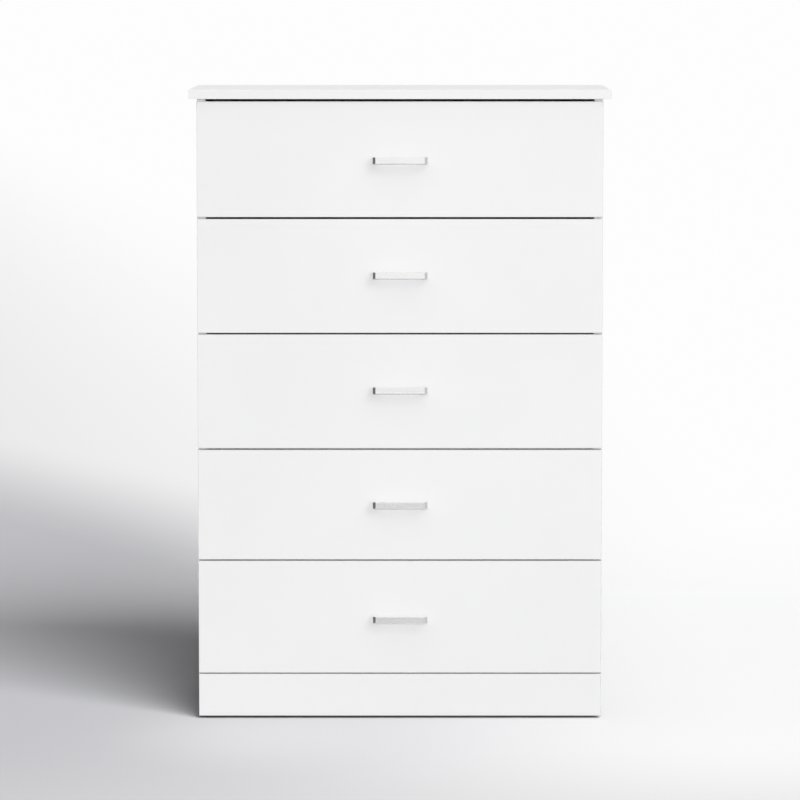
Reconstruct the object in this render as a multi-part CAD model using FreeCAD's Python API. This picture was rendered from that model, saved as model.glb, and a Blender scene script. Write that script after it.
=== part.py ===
import FreeCAD
import Part
import math
import os

# Tall chest of five drawers, in millimetres.
# The origin is on the floor, under the middle of the box that holds the whole chest.
# +X is to the right seen from the front, +Y is towards the back and +Z is up.
# Drawers are numbered from the top down, and they open towards -Y.

# ---- Driving dimensions: the outside ----

overall_height = 1194.0
top_width = 794.0
top_depth = 396.0
top_thickness = 17.5
top_side_overhang = 15.0      # past each side panel
top_front_overhang = 8.0      # in front of the drawer fronts
top_edge_round = 1.5

board = 16.0                  # laminated particle board
glide_height = 5.5
glide_radius = 7.5
glide_inset = 24.0            # from the side panel's front and rear edges

kick_height = 80.5
front_extras = [3.0, 0.6, 1.6, -5.4, 0.2]    # each front's height past their mean, from the top down
pull_lifts = [-1.5, 2.5, 4.0, 2.0, -2.0]      # each pull above the middle of its front
top_gap = 4.75                # between the highest front and the top panel
front_gaps = [3.75, 3.0, 3.25, 2.5, 2.25]     # under each front, from the top down
close_gap = 1.0               # behind a closed front, before the side panel's edge
front_edge_round = 1.0

# ---- Driving dimensions: bow pull ----

pull_centres = 96.0           # between its two screws
pull_bar = 10.0               # bar, front to back, and width of each leg
pull_height = 13.5
pull_projection = 30.0
pull_corner = 7.0             # outside bend
pull_edge_round = 1.5
pull_thread_radius = 2.0
pull_thread_depth = 12.0
pull_screw_head_radius = 4.0
pull_screw_head = 2.5

# ---- Driving dimensions: back of the carcass ----

back_panel = 3.0              # hardboard
strip_wall = 1.0              # joining strip between the two back panels
strip_height = 14.0
strip_end_play = 0.5
back_edge_inset = 1.5         # back panels stop this far inside the side panels' outer faces
rail_height = 80.0
cross_rail_depth = 60.0
cross_rail_setback = 12.0
wall_hole_spacing = 406.4     # wall studs are 16 inches apart
wall_hole_radius = 2.75
wall_hole_drop = 30.0         # below the top panel
nail_radius = 0.8
nail_length = 20.0
nail_head_radius = 1.9
nail_head = 0.5
nail_pitch = 120.0            # the longest distance between neighbouring nails
nail_end = 45.0               # from a panel's corner to its first nail
rail_nails = 4

# ---- Driving dimensions: drawer boxes ----

drawer_board = 12.0
drawer_height = 150.0
drawer_rear_gap = 7.0         # between a closed drawer and the rear rails
drawer_bottom = 3.0
bottom_rise = 10.0            # from the sides' lower edges to the bottom panel
groove_depth = 6.0
groove_play = 0.1
runner_rise = 22.0            # from a front's lower edge to its runner
side_clearance = 12.5         # between the drawer box and each side panel
back_screw_radius = 2.0
back_screw_length = 40.0
back_screw_heights = [45.0, 120.0]
drawer_cam_heights = [40.0, 120.0]
drawer_cam_depth = 9.5

# ---- Driving dimensions: runners and rollers ----

runner_setback = 2.0
runner_rear_gap = 15.0        # between a cabinet runner and the back panel
runner_wall = 1.2
channel_reach = 9.5           # width of the cabinet channel's flanges
roller_radius = 10.5
roller_width = 6.4
roller_recess = 1.0
roller_rim = 2.5
roller_hub = 4.5
roller_edge = 0.5
roller_play = 0.3             # between a roller and the steel it rolls on
roller_end = 14.0             # from a runner's end to its roller's axle
roller_above_channel = 0.6
axle_radius = 2.0
axle_clearance = 0.05
axle_shoulder_radius = 3.5
axle_head = 0.7
axle_end_play = 0.1
drawer_axle_start = 1.8       # from the side panel to the head of the drawer's axle
cabinet_roller_start = 3.0    # from the side panel to the cabinet's roller
flange_start = 2.0            # from the side panel to the edge of the drawer's flange
runner_overlap = 90.0         # what still lies in the cabinet runner when a drawer meets its stop
stop_drop = 4.0               # how far the stop hangs into the channel
stop_length = 6.0
runner_screw_radius = 1.75
runner_screw_head_radius = 3.5
runner_screw_head = 1.6
cabinet_screw_length = 13.0
drawer_screw_tip_gap = 1.0    # between the tips of the screws under a side and its groove
runner_screw_front = 37.0     # from a runner's front end to its first screw
runner_screw_rear = 57.0      # from a runner's rear end to its last screw

# ---- Driving dimensions: cams, dowels and screws ----

cam_radius = 7.5
cam_depth = 12.5
cam_distance = 24.0           # from a cam's axis to the end of its board
cam_slot_width = 1.6
cam_slot_length = 9.0
cam_slot_depth = 1.5
cam_bolt_radius = 3.0
cam_bolt_start = 2.5          # from the cam's axis to the bolt's head
cam_thread_radius = 2.5
cam_thread_depth = 10.0
dowel_radius = 4.0
dowel_in_face = 10.0
dowel_in_edge = 20.0
dowel_beside_cam = 32.0
hole_play = 0.05              # around each dowel, screw, cam and nail
blind_play = 0.3              # past the end of each dowel, screw and cam
top_cam_insets = [52.0, 60.0] # from the side panel's front and rear edges
kick_cam_height = 26.0        # from the kickboard's lower edge
kick_dowel_height = 56.0
rail_cam_share = 0.35         # a rail's cam and dowel stand this share of its height apart

# ---- Places worked out from them ----

body_half = top_width / 2 - top_side_overhang
inner_half = body_half - board
drawer_half = inner_half - side_clearance
drawer_inner_half = drawer_half - drawer_board

back_y = (top_depth + pull_projection - top_front_overhang) / 2
top_front_y = back_y - top_depth
front_face_y = top_front_y + top_front_overhang
front_back_y = front_face_y + board
side_front_y = front_back_y + close_gap
back_panel_y = back_y - strip_wall - back_panel
rail_front_y = back_panel_y - board
runner_front_y = side_front_y + runner_setback
runner_rear_y = back_panel_y - runner_rear_gap
runner_first_screw_y = runner_front_y + runner_screw_front
runner_last_screw_y = runner_rear_y - runner_screw_rear
runner_middle_screw_y = (runner_first_screw_y + runner_last_screw_y) / 2
runner_screw_rows = [runner_first_screw_y, runner_middle_screw_y, runner_last_screw_y]
travel = runner_rear_y - runner_front_y - runner_overlap
drawer_rear_y = rail_front_y - drawer_rear_gap
cabinet_axle_y = runner_front_y + roller_end
drawer_axle_y = runner_rear_y - roller_end

kick_top = glide_height + kick_height
top_bottom = overall_height - top_thickness
fronts_total = top_bottom - top_gap - sum(front_gaps) - kick_top
front_mean = fronts_total / len(front_extras)
front_heights = [front_mean + extra for extra in front_extras]
front_bottoms = []
level = top_bottom - top_gap
for height, gap in zip(front_heights, front_gaps):
    front_bottoms.append(level - height)
    level -= height + gap

channel_height = 2 * (roller_radius + roller_play + runner_wall)
drawer_axle_rise = channel_height / 2
cabinet_axle_rise = channel_height + roller_above_channel - roller_radius
flange_rise = channel_height + roller_above_channel + roller_play
side_rise = runner_wall
drawer_screw_length = side_rise + bottom_rise - groove_play - drawer_screw_tip_gap

along_x = FreeCAD.Vector(1, 0, 0)
along_y = FreeCAD.Vector(0, 1, 0)
along_z = FreeCAD.Vector(0, 0, 1)


# ---- Small helpers ----

def block(low, high):
    """A box from its lowest to its highest corner."""
    size = [high[i] - low[i] for i in range(3)]
    return Part.makeBox(size[0], size[1], size[2], FreeCAD.Vector(*low))


def block_between(one, other):
    """A box between any two opposite corners."""
    low = [min(a, b) for a, b in zip(one, other)]
    high = [max(a, b) for a, b in zip(one, other)]
    return block(low, high)


def rod(radius, start, direction, length):
    """A cylinder from start along direction."""
    return Part.makeCylinder(radius, length, FreeCAD.Vector(*start), direction)


def cone(start_radius, end_radius, start, direction, length):
    return Part.makeCone(start_radius, end_radius, length, FreeCAD.Vector(*start), direction)


def mirrored(shape):
    """The same piece on the other side of the chest."""
    return shape.mirror(FreeCAD.Vector(0, 0, 0), along_x)


def both_sides(shapes):
    return shapes + [mirrored(shape) for shape in shapes]


def cut_all(shape, cutters):
    return shape.cut(cutters) if cutters else shape


def rounded(shape, radius, is_wanted):
    """The shape with the edges that is_wanted accepts rounded."""
    edges = [edge for edge in shape.Edges if is_wanted(edge.BoundBox)]
    return shape.makeFillet(radius, edges)


def save(node, shapes):
    """One STEP file for a node, holding one solid or a group of separate solids."""
    shape = shapes[0] if len(shapes) == 1 else Part.makeCompound(shapes)
    shape.exportStep("parts/" + node + ".step")
    print(node, len(shape.Solids), "solids")


# ---- Fasteners: each gives its own solids and the holes that it needs ----

def cam_joint(centre, into, towards, depth, thickness):
    """A cam nut let into a board's face at centre, and the bolt that it draws.

    into points from the face into the board, and towards points along the board to the piece that
    the bolt is screwed into. The bolt lies in the middle of the board's thickness.
    """
    face = FreeCAD.Vector(*centre)
    middle = face + into * (thickness / 2)
    joint = middle + towards * cam_distance
    across = into.cross(towards)

    nut = rod(cam_radius, face, into, depth)
    tunnel = rod(cam_bolt_radius + hole_play, middle, towards, cam_distance)
    nut = nut.cut(tunnel)
    for long_way, short_way in ((towards, across), (across, towards)):
        reach = long_way * (cam_slot_length / 2) + short_way * (cam_slot_width / 2)
        nut = nut.cut(block_between(face - reach, face + reach + into * cam_slot_depth))

    bolt = rod(cam_bolt_radius, middle + towards * cam_bolt_start, towards,
               cam_distance - cam_bolt_start)
    thread = rod(cam_thread_radius, joint, towards, cam_thread_depth)
    bolt = bolt.fuse(thread).removeSplitter()

    pocket = rod(cam_radius + hole_play, face, into, depth + blind_play)
    own_holes = [pocket, tunnel]
    mate_holes = [rod(cam_thread_radius + hole_play, joint, towards, cam_thread_depth + blind_play)]
    return [nut, bolt], own_holes, mate_holes


def dowel_joint(joint, into_face):
    """A dowel across a joint, and the one hole that it needs in both boards.

    joint is the point where its axis crosses the joint, and into_face points into the board whose
    face is drilled.
    """
    point = FreeCAD.Vector(*joint)
    dowel = rod(dowel_radius, point - into_face * dowel_in_edge, into_face,
                dowel_in_edge + dowel_in_face)
    hole = rod(dowel_radius + hole_play, point - into_face * (dowel_in_edge + blind_play), into_face,
               dowel_in_edge + dowel_in_face + 2 * blind_play)
    return dowel, hole


def countersunk_screw(head_point, into, length):
    """A flat-headed screw whose head is flush at head_point, and its hole."""
    head = cone(runner_screw_head_radius, runner_screw_radius, head_point, into, runner_screw_head)
    screw = head.fuse(rod(runner_screw_radius, head_point, into, length)).removeSplitter()
    hole_head = cone(runner_screw_head_radius + hole_play, runner_screw_radius + hole_play,
                     head_point, into, runner_screw_head)
    hole = hole_head.fuse(rod(runner_screw_radius + hole_play, head_point, into, length + blind_play))
    return screw, hole


# ---- Runners, seen on the left side of the chest: offsets from the side panel count towards the
# ---- middle, and rises count up from the runner's lowest face ----

def runner_block(low_offset, high_offset, low_y, high_y, low_z, high_z):
    return block((-inner_half + low_offset, low_y, low_z), (-inner_half + high_offset, high_y, high_z))


def axle_rod(radius, low_offset, high_offset, y, z):
    return rod(radius, (-inner_half + low_offset, y, z), along_x, high_offset - low_offset)


def roller(low_offset, y, z):
    """A nylon roller with a recess in each face, its axis along X."""
    high_offset = low_offset + roller_width
    wheel = axle_rod(roller_radius, low_offset, high_offset, y, z)
    wheel = wheel.makeChamfer(roller_edge, [edge for edge in wheel.Edges if edge.Closed])
    ring_outer = roller_radius - roller_rim
    for start in (low_offset, high_offset - roller_recess):
        recess = axle_rod(ring_outer, start, start + roller_recess, y, z)
        recess = recess.cut(axle_rod(roller_hub, start, start + roller_recess, y, z))
        wheel = wheel.cut(recess)
    return wheel.cut(axle_rod(axle_radius + axle_clearance, low_offset, high_offset, y, z))


def cabinet_runner(base):
    """The channel that is screwed to the left side panel, its axle, and its screws and their holes."""
    top = base + channel_height
    flange_front_y = cabinet_axle_y + roller_radius + runner_setback
    channel = runner_block(0, runner_wall, runner_front_y, runner_rear_y, base, top)
    lower = runner_block(0, channel_reach, runner_front_y, runner_rear_y, base, base + runner_wall)
    upper = runner_block(0, channel_reach, flange_front_y, runner_rear_y, top - runner_wall, top)
    # At the end of the travel the drawer's roller meets a stop that hangs from the upper flange.
    below_middle = roller_radius + roller_play - stop_drop
    contact = math.sqrt(roller_radius ** 2 - below_middle ** 2)
    stop_y = drawer_axle_y - travel - contact - roller_play
    stop = runner_block(0, channel_reach, stop_y - stop_length, stop_y,
                        top - runner_wall - stop_drop, top)
    channel = channel.fuse([lower, upper, stop]).removeSplitter()

    axle_z = base + cabinet_axle_rise
    roller_end_offset = cabinet_roller_start + roller_width + axle_end_play
    axle = axle_rod(axle_radius, 0, roller_end_offset + axle_head, cabinet_axle_y, axle_z)
    shoulder = axle_rod(axle_shoulder_radius, runner_wall, cabinet_roller_start - axle_end_play,
                        cabinet_axle_y, axle_z)
    head = axle_rod(axle_shoulder_radius, roller_end_offset, roller_end_offset + axle_head,
                    cabinet_axle_y, axle_z)
    axle = axle.fuse([shoulder, head]).removeSplitter()
    rivet_hole = axle_rod(axle_radius + hole_play, 0, runner_wall, cabinet_axle_y, axle_z)
    channel = channel.cut(rivet_hole)

    screws = []
    holes = []
    for y in runner_screw_rows:
        head_point = (-inner_half + runner_wall, y, base + drawer_axle_rise)
        screw, hole = countersunk_screw(head_point, -along_x, cabinet_screw_length)
        screws.append(screw)
        holes.append(hole)
    channel = cut_all(channel, holes)
    return [channel, axle], screws, holes


def drawer_runner(base):
    """The runner under the left side of a drawer box, its axle, and its screws and their holes."""
    web_start = side_clearance - runner_wall
    foot_end = side_clearance + drawer_board
    front_y = front_back_y + runner_setback
    rear_y = drawer_axle_y + roller_radius
    flange = base + flange_rise
    runner = runner_block(web_start, side_clearance, front_y, rear_y, base, flange + runner_wall)
    foot = runner_block(web_start, foot_end, front_y, rear_y, base, base + runner_wall)
    lip = runner_block(flange_start, side_clearance, front_y, rear_y, flange, flange + runner_wall)
    runner = runner.fuse([foot, lip]).removeSplitter()

    axle_z = base + drawer_axle_rise
    roller_start = drawer_axle_start + axle_head + axle_end_play
    shoulder_start = roller_start + roller_width + axle_end_play
    axle = axle_rod(axle_radius, drawer_axle_start, side_clearance, drawer_axle_y, axle_z)
    head = axle_rod(axle_shoulder_radius, drawer_axle_start, drawer_axle_start + axle_head,
                    drawer_axle_y, axle_z)
    shoulder = axle_rod(axle_shoulder_radius, shoulder_start, web_start, drawer_axle_y, axle_z)
    axle = axle.fuse([head, shoulder]).removeSplitter()
    rivet_hole = axle_rod(axle_radius + hole_play, web_start, side_clearance, drawer_axle_y, axle_z)
    runner = runner.cut(rivet_hole)

    screws = []
    holes = []
    for y in runner_screw_rows:
        head_point = (-drawer_half + drawer_board / 2, y, base)
        screw, hole = countersunk_screw(head_point, along_z, drawer_screw_length)
        screws.append(screw)
        holes.append(hole)
    runner = cut_all(runner, holes)
    return [runner, axle], screws, holes


# ---- Drawers ----

def bow_pull(z):
    """A square bar bent into a bow, with a leg at each end that stands on the drawer front.

    Seen from above, its outline is an outer bend round each corner and a straight inner step.
    """
    half = pull_centres / 2 + pull_bar / 2
    low = front_face_y - pull_projection
    bend = half - pull_corner
    inner = half - pull_bar
    inner_low = low + pull_bar
    shift = pull_corner * (1 - math.sin(math.pi / 4))
    bottom = z - pull_height / 2

    def at(x, y):
        return FreeCAD.Vector(x, y, bottom)

    outline = [
        Part.LineSegment(at(-half, front_face_y), at(-half, low + pull_corner)),
        Part.Arc(at(-half, low + pull_corner), at(-half + shift, low + shift), at(-bend, low)),
        Part.LineSegment(at(-bend, low), at(bend, low)),
        Part.Arc(at(bend, low), at(half - shift, low + shift), at(half, low + pull_corner)),
        Part.LineSegment(at(half, low + pull_corner), at(half, front_face_y)),
        Part.LineSegment(at(half, front_face_y), at(inner, front_face_y)),
        Part.LineSegment(at(inner, front_face_y), at(inner, inner_low)),
        Part.LineSegment(at(inner, inner_low), at(-inner, inner_low)),
        Part.LineSegment(at(-inner, inner_low), at(-inner, front_face_y)),
        Part.LineSegment(at(-inner, front_face_y), at(-half, front_face_y)),
    ]
    wire = Part.Wire([piece.toShape() for piece in outline])
    pull = Part.Face(wire).extrude(along_z * pull_height)

    def runs_along_the_bar(box):
        return box.ZLength < pull_edge_round and box.YMin < front_face_y - pull_edge_round

    pull = rounded(pull, pull_edge_round, runs_along_the_bar)
    holes = [rod(pull_thread_radius + hole_play, (side * pull_centres / 2, front_face_y, z), -along_y,
                 pull_thread_depth + blind_play) for side in (-1, 1)]
    return cut_all(pull, holes)


def pull_screws(z):
    """The two screws of a pull, from inside the drawer, and their holes through the front."""
    screws = []
    holes = []
    for side in (-1, 1):
        end = (side * pull_centres / 2, front_face_y - pull_thread_depth, z)
        length = board + pull_thread_depth
        shank = rod(pull_thread_radius, end, along_y, length)
        head = rod(pull_screw_head_radius, (end[0], front_back_y, z), along_y, pull_screw_head)
        screws.append(shank.fuse(head).removeSplitter())
        holes.append(rod(pull_thread_radius + hole_play, end, along_y, length))
    return screws, holes


def drawer_box_joints(base):
    """The cams that hold the left side to the front, and the screws that hold it to the back."""
    fasteners = []
    side_holes = []
    front_holes = []
    back_holes = []
    lower_edge = base + side_rise
    for height in drawer_cam_heights:
        centre = (-drawer_half, front_back_y + cam_distance, lower_edge + height)
        made, own, mate = cam_joint(centre, along_x, -along_y, drawer_cam_depth, drawer_board)
        fasteners += made
        side_holes += own
        front_holes += mate
    for height in back_screw_heights:
        head_point = (-drawer_half, drawer_rear_y - drawer_board / 2, lower_edge + height)
        head = cone(2 * back_screw_radius, back_screw_radius, head_point, along_x, back_screw_radius)
        shank = rod(back_screw_radius, head_point, along_x, back_screw_length)
        fasteners.append(shank.fuse(head).removeSplitter())
        hole_head = cone(2 * back_screw_radius + hole_play, back_screw_radius + hole_play, head_point,
                         along_x, back_screw_radius)
        hole = rod(back_screw_radius + hole_play, head_point, along_x, back_screw_length + blind_play)
        side_holes += [hole_head, hole]
        back_holes.append(hole)
    return fasteners, side_holes, front_holes, back_holes


def make_drawer(number, front_bottom, front_height, pull_lift):
    """All the pieces of one drawer, with its rollers and the cabinet's rollers under it."""
    name = "drawer_" + str(number)
    base = front_bottom + runner_rise
    lower_edge = base + side_rise
    upper_edge = lower_edge + drawer_height
    floor_z = lower_edge + bottom_rise
    pull_z = front_bottom + front_height / 2 + pull_lift
    back_front_y = drawer_rear_y - drawer_board

    groove = block((-drawer_inner_half - groove_depth, front_back_y - groove_depth, floor_z - groove_play),
                   (drawer_inner_half + groove_depth, back_front_y + groove_depth,
                    floor_z + drawer_bottom + groove_play))
    panel_reach = groove_depth - groove_play
    bottom = block((-drawer_inner_half - panel_reach, front_back_y - panel_reach, floor_z),
                   (drawer_inner_half + panel_reach, back_front_y + panel_reach, floor_z + drawer_bottom))

    runner_pieces, runner_screws, runner_holes = drawer_runner(base)
    box_fasteners, side_holes, front_holes, back_holes = drawer_box_joints(base)
    handle_screws, handle_holes = pull_screws(pull_z)

    front = block((-body_half, front_face_y, front_bottom),
                  (body_half, front_back_y, front_bottom + front_height))
    front = rounded(front, front_edge_round, lambda box: box.YMax < front_face_y + front_edge_round)
    front = cut_all(front, [groove] + both_sides(front_holes) + handle_holes)

    side = block((-drawer_half, front_back_y, lower_edge), (-drawer_inner_half, drawer_rear_y, upper_edge))
    side = cut_all(side, [groove] + side_holes + runner_holes)

    back = block((-drawer_inner_half, back_front_y, lower_edge),
                 (drawer_inner_half, drawer_rear_y, upper_edge))
    back = cut_all(back, [groove] + both_sides(back_holes))

    drawer_roller_start = drawer_axle_start + axle_head + axle_end_play
    drawer_roller = roller(drawer_roller_start, drawer_axle_y, base + drawer_axle_rise)
    cabinet_roller = roller(cabinet_roller_start, cabinet_axle_y, base + cabinet_axle_rise)

    save(name + "_front", [front])
    save(name + "_sides", both_sides([side]))
    save(name + "_back", [back])
    save(name + "_bottom", [bottom])
    save(name + "_pull", [bow_pull(pull_z)])
    save(name + "_runners", both_sides(runner_pieces))
    save(name + "_fasteners", both_sides(box_fasteners + runner_screws) + handle_screws)
    save("drawer_rollers_" + str(number), both_sides([drawer_roller]))
    save("cabinet_rollers_" + str(number), both_sides([cabinet_roller]))


# ---- Carcass ----

def top_joints():
    """Cams and dowels between the left side panel and the top panel."""
    rows = (side_front_y + top_cam_insets[0], back_panel_y - top_cam_insets[1])
    steps = (dowel_beside_cam, -dowel_beside_cam)
    cams = []
    dowels = []
    side_holes = []
    top_holes = []
    for y, step in zip(rows, steps):
        centre = (-inner_half, y, top_bottom - cam_distance)
        made, own, mate = cam_joint(centre, -along_x, along_z, cam_depth, board)
        dowel, hole = dowel_joint((-inner_half - board / 2, y + step, top_bottom), along_z)
        cams += made
        dowels.append(dowel)
        side_holes += own + [hole]
        top_holes += mate + [hole]
    return cams, dowels, side_holes, top_holes


def kick_joints():
    """A cam and a dowel between the left side panel and the kickboard."""
    cam_z = glide_height + kick_cam_height
    dowel_z = glide_height + kick_dowel_height
    # The kickboard stands against the side panel's front edge, with no closing gap.
    centre = (-inner_half, side_front_y + cam_distance, cam_z)
    made, own, mate = cam_joint(centre, -along_x, -along_y, cam_depth, board)
    dowel, hole = dowel_joint((-inner_half - board / 2, side_front_y, dowel_z), -along_y)
    return made, [dowel], own + [hole], mate + [hole]


def rail_joints(low_z):
    """A cam and a dowel between the left side panel and an upright rail at the back."""
    middle_z = low_z + rail_height / 2
    step = rail_height * rail_cam_share / 2
    centre = (-inner_half + cam_distance, rail_front_y, middle_z + step)
    made, own, mate = cam_joint(centre, along_y, -along_x, cam_depth, board)
    dowel, hole = dowel_joint((-inner_half, rail_front_y + board / 2, middle_z - step), -along_x)
    return made, [dowel], own + [hole], mate + [hole]


def cross_rail_joints(low_z):
    """A cam and a dowel between the left side panel and the flat cross rail."""
    middle_y = side_front_y + cross_rail_setback + cross_rail_depth / 2
    step = cross_rail_depth * rail_cam_share / 2
    centre = (-inner_half + cam_distance, middle_y - step, low_z)
    made, own, mate = cam_joint(centre, along_z, -along_x, cam_depth, board)
    dowel, hole = dowel_joint((-inner_half, middle_y + step, low_z + board / 2), -along_x)
    return made, [dowel], own + [hole], mate + [hole]


def even_places(low, high, count):
    return [low + (high - low) * i / (count - 1) for i in range(count)]


def nail(x, z):
    """A nail through a back panel from behind, its head flush, and its hole."""
    face_y = back_panel_y + back_panel
    shank = rod(nail_radius, (x, face_y, z), -along_y, nail_length)
    head = rod(nail_head_radius, (x, face_y, z), -along_y, nail_head)
    hole_shank = rod(nail_radius + hole_play, (x, face_y, z), -along_y, nail_length + blind_play)
    hole_head = rod(nail_head_radius + hole_play, (x, face_y, z), -along_y, nail_head)
    return shank.fuse(head).removeSplitter(), hole_shank.fuse(hole_head)


def nail_rows(low_z, high_z, rail_z):
    """The nails of one back panel: a row up each side panel and a row along the rail at rail_z."""
    count = 1 + math.ceil((high_z - low_z - 2 * nail_end) / nail_pitch)
    row_x = inner_half + (board - back_edge_inset) / 2
    places = [(side * row_x, z) for side in (-1, 1)
              for z in even_places(low_z + nail_end, high_z - nail_end, count)]
    rail_reach = inner_half - 2 * nail_end
    places += [(x, rail_z) for x in even_places(-rail_reach, rail_reach, rail_nails)]
    made = [nail(x, z) for x, z in places]
    return [pair[0] for pair in made], [pair[1] for pair in made]


def make_carcass():
    """Everything that stays still when the drawers open."""
    half = top_width / 2
    kick_front_y = side_front_y - board
    strip_z = (glide_height + top_bottom) / 2
    upper_rail_z = top_bottom - rail_height
    lower_rail_z = glide_height
    # The cross rail lies behind the gap that is nearest to the middle of the side panels.
    gap_middles = [bottom - gap / 2 for bottom, gap in zip(front_bottoms, front_gaps)]
    cross_rail_z = min(gap_middles, key=lambda z: abs(z - strip_z)) - board / 2

    top_cams, top_dowels, side_top_holes, top_holes = top_joints()
    kick_cams, kick_dowels, side_kick_holes, kick_holes = kick_joints()
    upper_cams, upper_dowels, upper_own, upper_mate = rail_joints(upper_rail_z)
    lower_cams, lower_dowels, lower_own, lower_mate = rail_joints(lower_rail_z)
    cross_cams, cross_dowels, cross_own, cross_mate = cross_rail_joints(cross_rail_z)

    runners = []
    runner_screws = []
    runner_holes = []
    for front_bottom in front_bottoms:
        pieces, screws, holes = cabinet_runner(front_bottom + runner_rise)
        runners += pieces
        runner_screws += screws
        runner_holes += holes

    low_nails, low_nail_holes = nail_rows(glide_height, strip_z, lower_rail_z + rail_height / 2)
    high_nails, high_nail_holes = nail_rows(strip_z, top_bottom, upper_rail_z + rail_height / 2)
    nail_holes = low_nail_holes + high_nail_holes

    wall_holes = [rod(wall_hole_radius, (side * wall_hole_spacing / 2, rail_front_y,
                                         top_bottom - wall_hole_drop), along_y, board + back_panel)
                  for side in (-1, 1)]

    top = block((-half, top_front_y, top_bottom), (half, back_y, overall_height))
    top = rounded(top, top_edge_round, lambda box: box.ZMin > top_bottom + top_thickness / 2)
    top = cut_all(top, both_sides(top_holes))

    side = block((-body_half, side_front_y, glide_height), (-inner_half, back_panel_y, top_bottom))
    side_holes = side_top_holes + side_kick_holes + upper_mate + lower_mate + cross_mate + runner_holes
    side = cut_all(side, side_holes + nail_holes)

    kick = block((-body_half, kick_front_y, glide_height), (body_half, side_front_y, kick_top))
    kick = rounded(kick, front_edge_round, lambda box: box.YMax < kick_front_y + front_edge_round)
    kick = cut_all(kick, both_sides(kick_holes))

    upper_rail = block((-inner_half, rail_front_y, upper_rail_z), (inner_half, back_panel_y, top_bottom))
    upper_rail = cut_all(upper_rail, both_sides(upper_own) + nail_holes + wall_holes)
    lower_rail = block((-inner_half, rail_front_y, lower_rail_z),
                       (inner_half, back_panel_y, lower_rail_z + rail_height))
    lower_rail = cut_all(lower_rail, both_sides(lower_own) + nail_holes)

    cross_front_y = side_front_y + cross_rail_setback
    cross_rail = block((-inner_half, cross_front_y, cross_rail_z),
                       (inner_half, cross_front_y + cross_rail_depth, cross_rail_z + board))
    cross_rail = cut_all(cross_rail, both_sides(cross_own))

    back_half = body_half - back_edge_inset
    back_outer_y = back_panel_y + back_panel
    lower_back = block((-back_half, back_panel_y, glide_height),
                       (back_half, back_outer_y, strip_z - strip_wall / 2))
    lower_back = cut_all(lower_back, nail_holes)
    upper_back = block((-back_half, back_panel_y, strip_z + strip_wall / 2),
                       (back_half, back_outer_y, top_bottom))
    upper_back = cut_all(upper_back, nail_holes + wall_holes)

    strip_half = inner_half - strip_end_play
    strip_low = strip_z - strip_height / 2
    strip_high = strip_z + strip_height / 2
    strip = block((-strip_half, back_panel_y, strip_z - strip_wall / 2),
                  (strip_half, back_outer_y, strip_z + strip_wall / 2))
    inner_lip = block((-strip_half, back_panel_y - strip_wall, strip_low),
                      (strip_half, back_panel_y, strip_high))
    outer_lip = block((-strip_half, back_outer_y, strip_low), (strip_half, back_y, strip_high))
    strip = strip.fuse([inner_lip, outer_lip]).removeSplitter()

    glides = [rod(glide_radius, (-body_half + board / 2, y, 0), along_z, glide_height)
              for y in (side_front_y + glide_inset, back_panel_y - glide_inset)]

    cams = top_cams + kick_cams + upper_cams + lower_cams + cross_cams
    dowels = top_dowels + kick_dowels + upper_dowels + lower_dowels + cross_dowels

    save("top_panel", [top])
    save("left_side_panel", [side])
    save("right_side_panel", [mirrored(side)])
    save("kickboard", [kick])
    save("cross_rail", [cross_rail])
    save("rear_rails", [upper_rail, lower_rail])
    save("upper_back_panel", [upper_back])
    save("lower_back_panel", [lower_back])
    save("back_joining_strip", [strip])
    save("floor_glides", both_sides(glides))
    save("cabinet_runners", both_sides(runners))
    save("cabinet_runner_screws", both_sides(runner_screws))
    save("carcass_cams", both_sides(cams))
    save("carcass_dowels", both_sides(dowels))
    save("back_nails", low_nails + high_nails)


os.makedirs("parts", exist_ok=True)
make_carcass()
for index, front_bottom in enumerate(front_bottoms):
    make_drawer(index + 1, front_bottom, front_heights[index], pull_lifts[index])
print("height", overall_height)
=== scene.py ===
import math

import bpy
import numpy as np
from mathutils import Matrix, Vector


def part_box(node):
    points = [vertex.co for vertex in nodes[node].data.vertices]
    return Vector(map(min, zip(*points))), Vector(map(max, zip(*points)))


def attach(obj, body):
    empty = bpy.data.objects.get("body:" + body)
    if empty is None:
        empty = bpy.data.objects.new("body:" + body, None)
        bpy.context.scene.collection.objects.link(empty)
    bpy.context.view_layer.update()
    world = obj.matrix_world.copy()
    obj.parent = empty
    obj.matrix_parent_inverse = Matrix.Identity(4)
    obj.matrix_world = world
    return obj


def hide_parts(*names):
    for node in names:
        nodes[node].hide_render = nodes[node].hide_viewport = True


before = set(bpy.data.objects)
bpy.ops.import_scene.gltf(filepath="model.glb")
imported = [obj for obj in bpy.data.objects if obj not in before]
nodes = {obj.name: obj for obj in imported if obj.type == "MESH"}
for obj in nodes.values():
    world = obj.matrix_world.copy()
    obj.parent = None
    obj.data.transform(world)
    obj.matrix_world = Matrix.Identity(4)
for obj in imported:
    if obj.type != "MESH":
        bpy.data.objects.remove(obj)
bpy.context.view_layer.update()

drawerNumbers = [1, 2, 3, 4, 5]
print("stage: frame loaded,", len(nodes), "nodes")


# Camera: a long lens in front of the chest, a little above its top.

camera = {
    "distance": 8.0,        # to the drawer fronts
    "height": 1.3802,
    "tilt": 5.506,          # degrees downwards
    "lens": 191.48,
    "sensor": 36.0,
    "side": 0.0,            # to the right of the middle
    "clipNear": 0.1,
    "clipFar": 2000.0,
}


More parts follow.
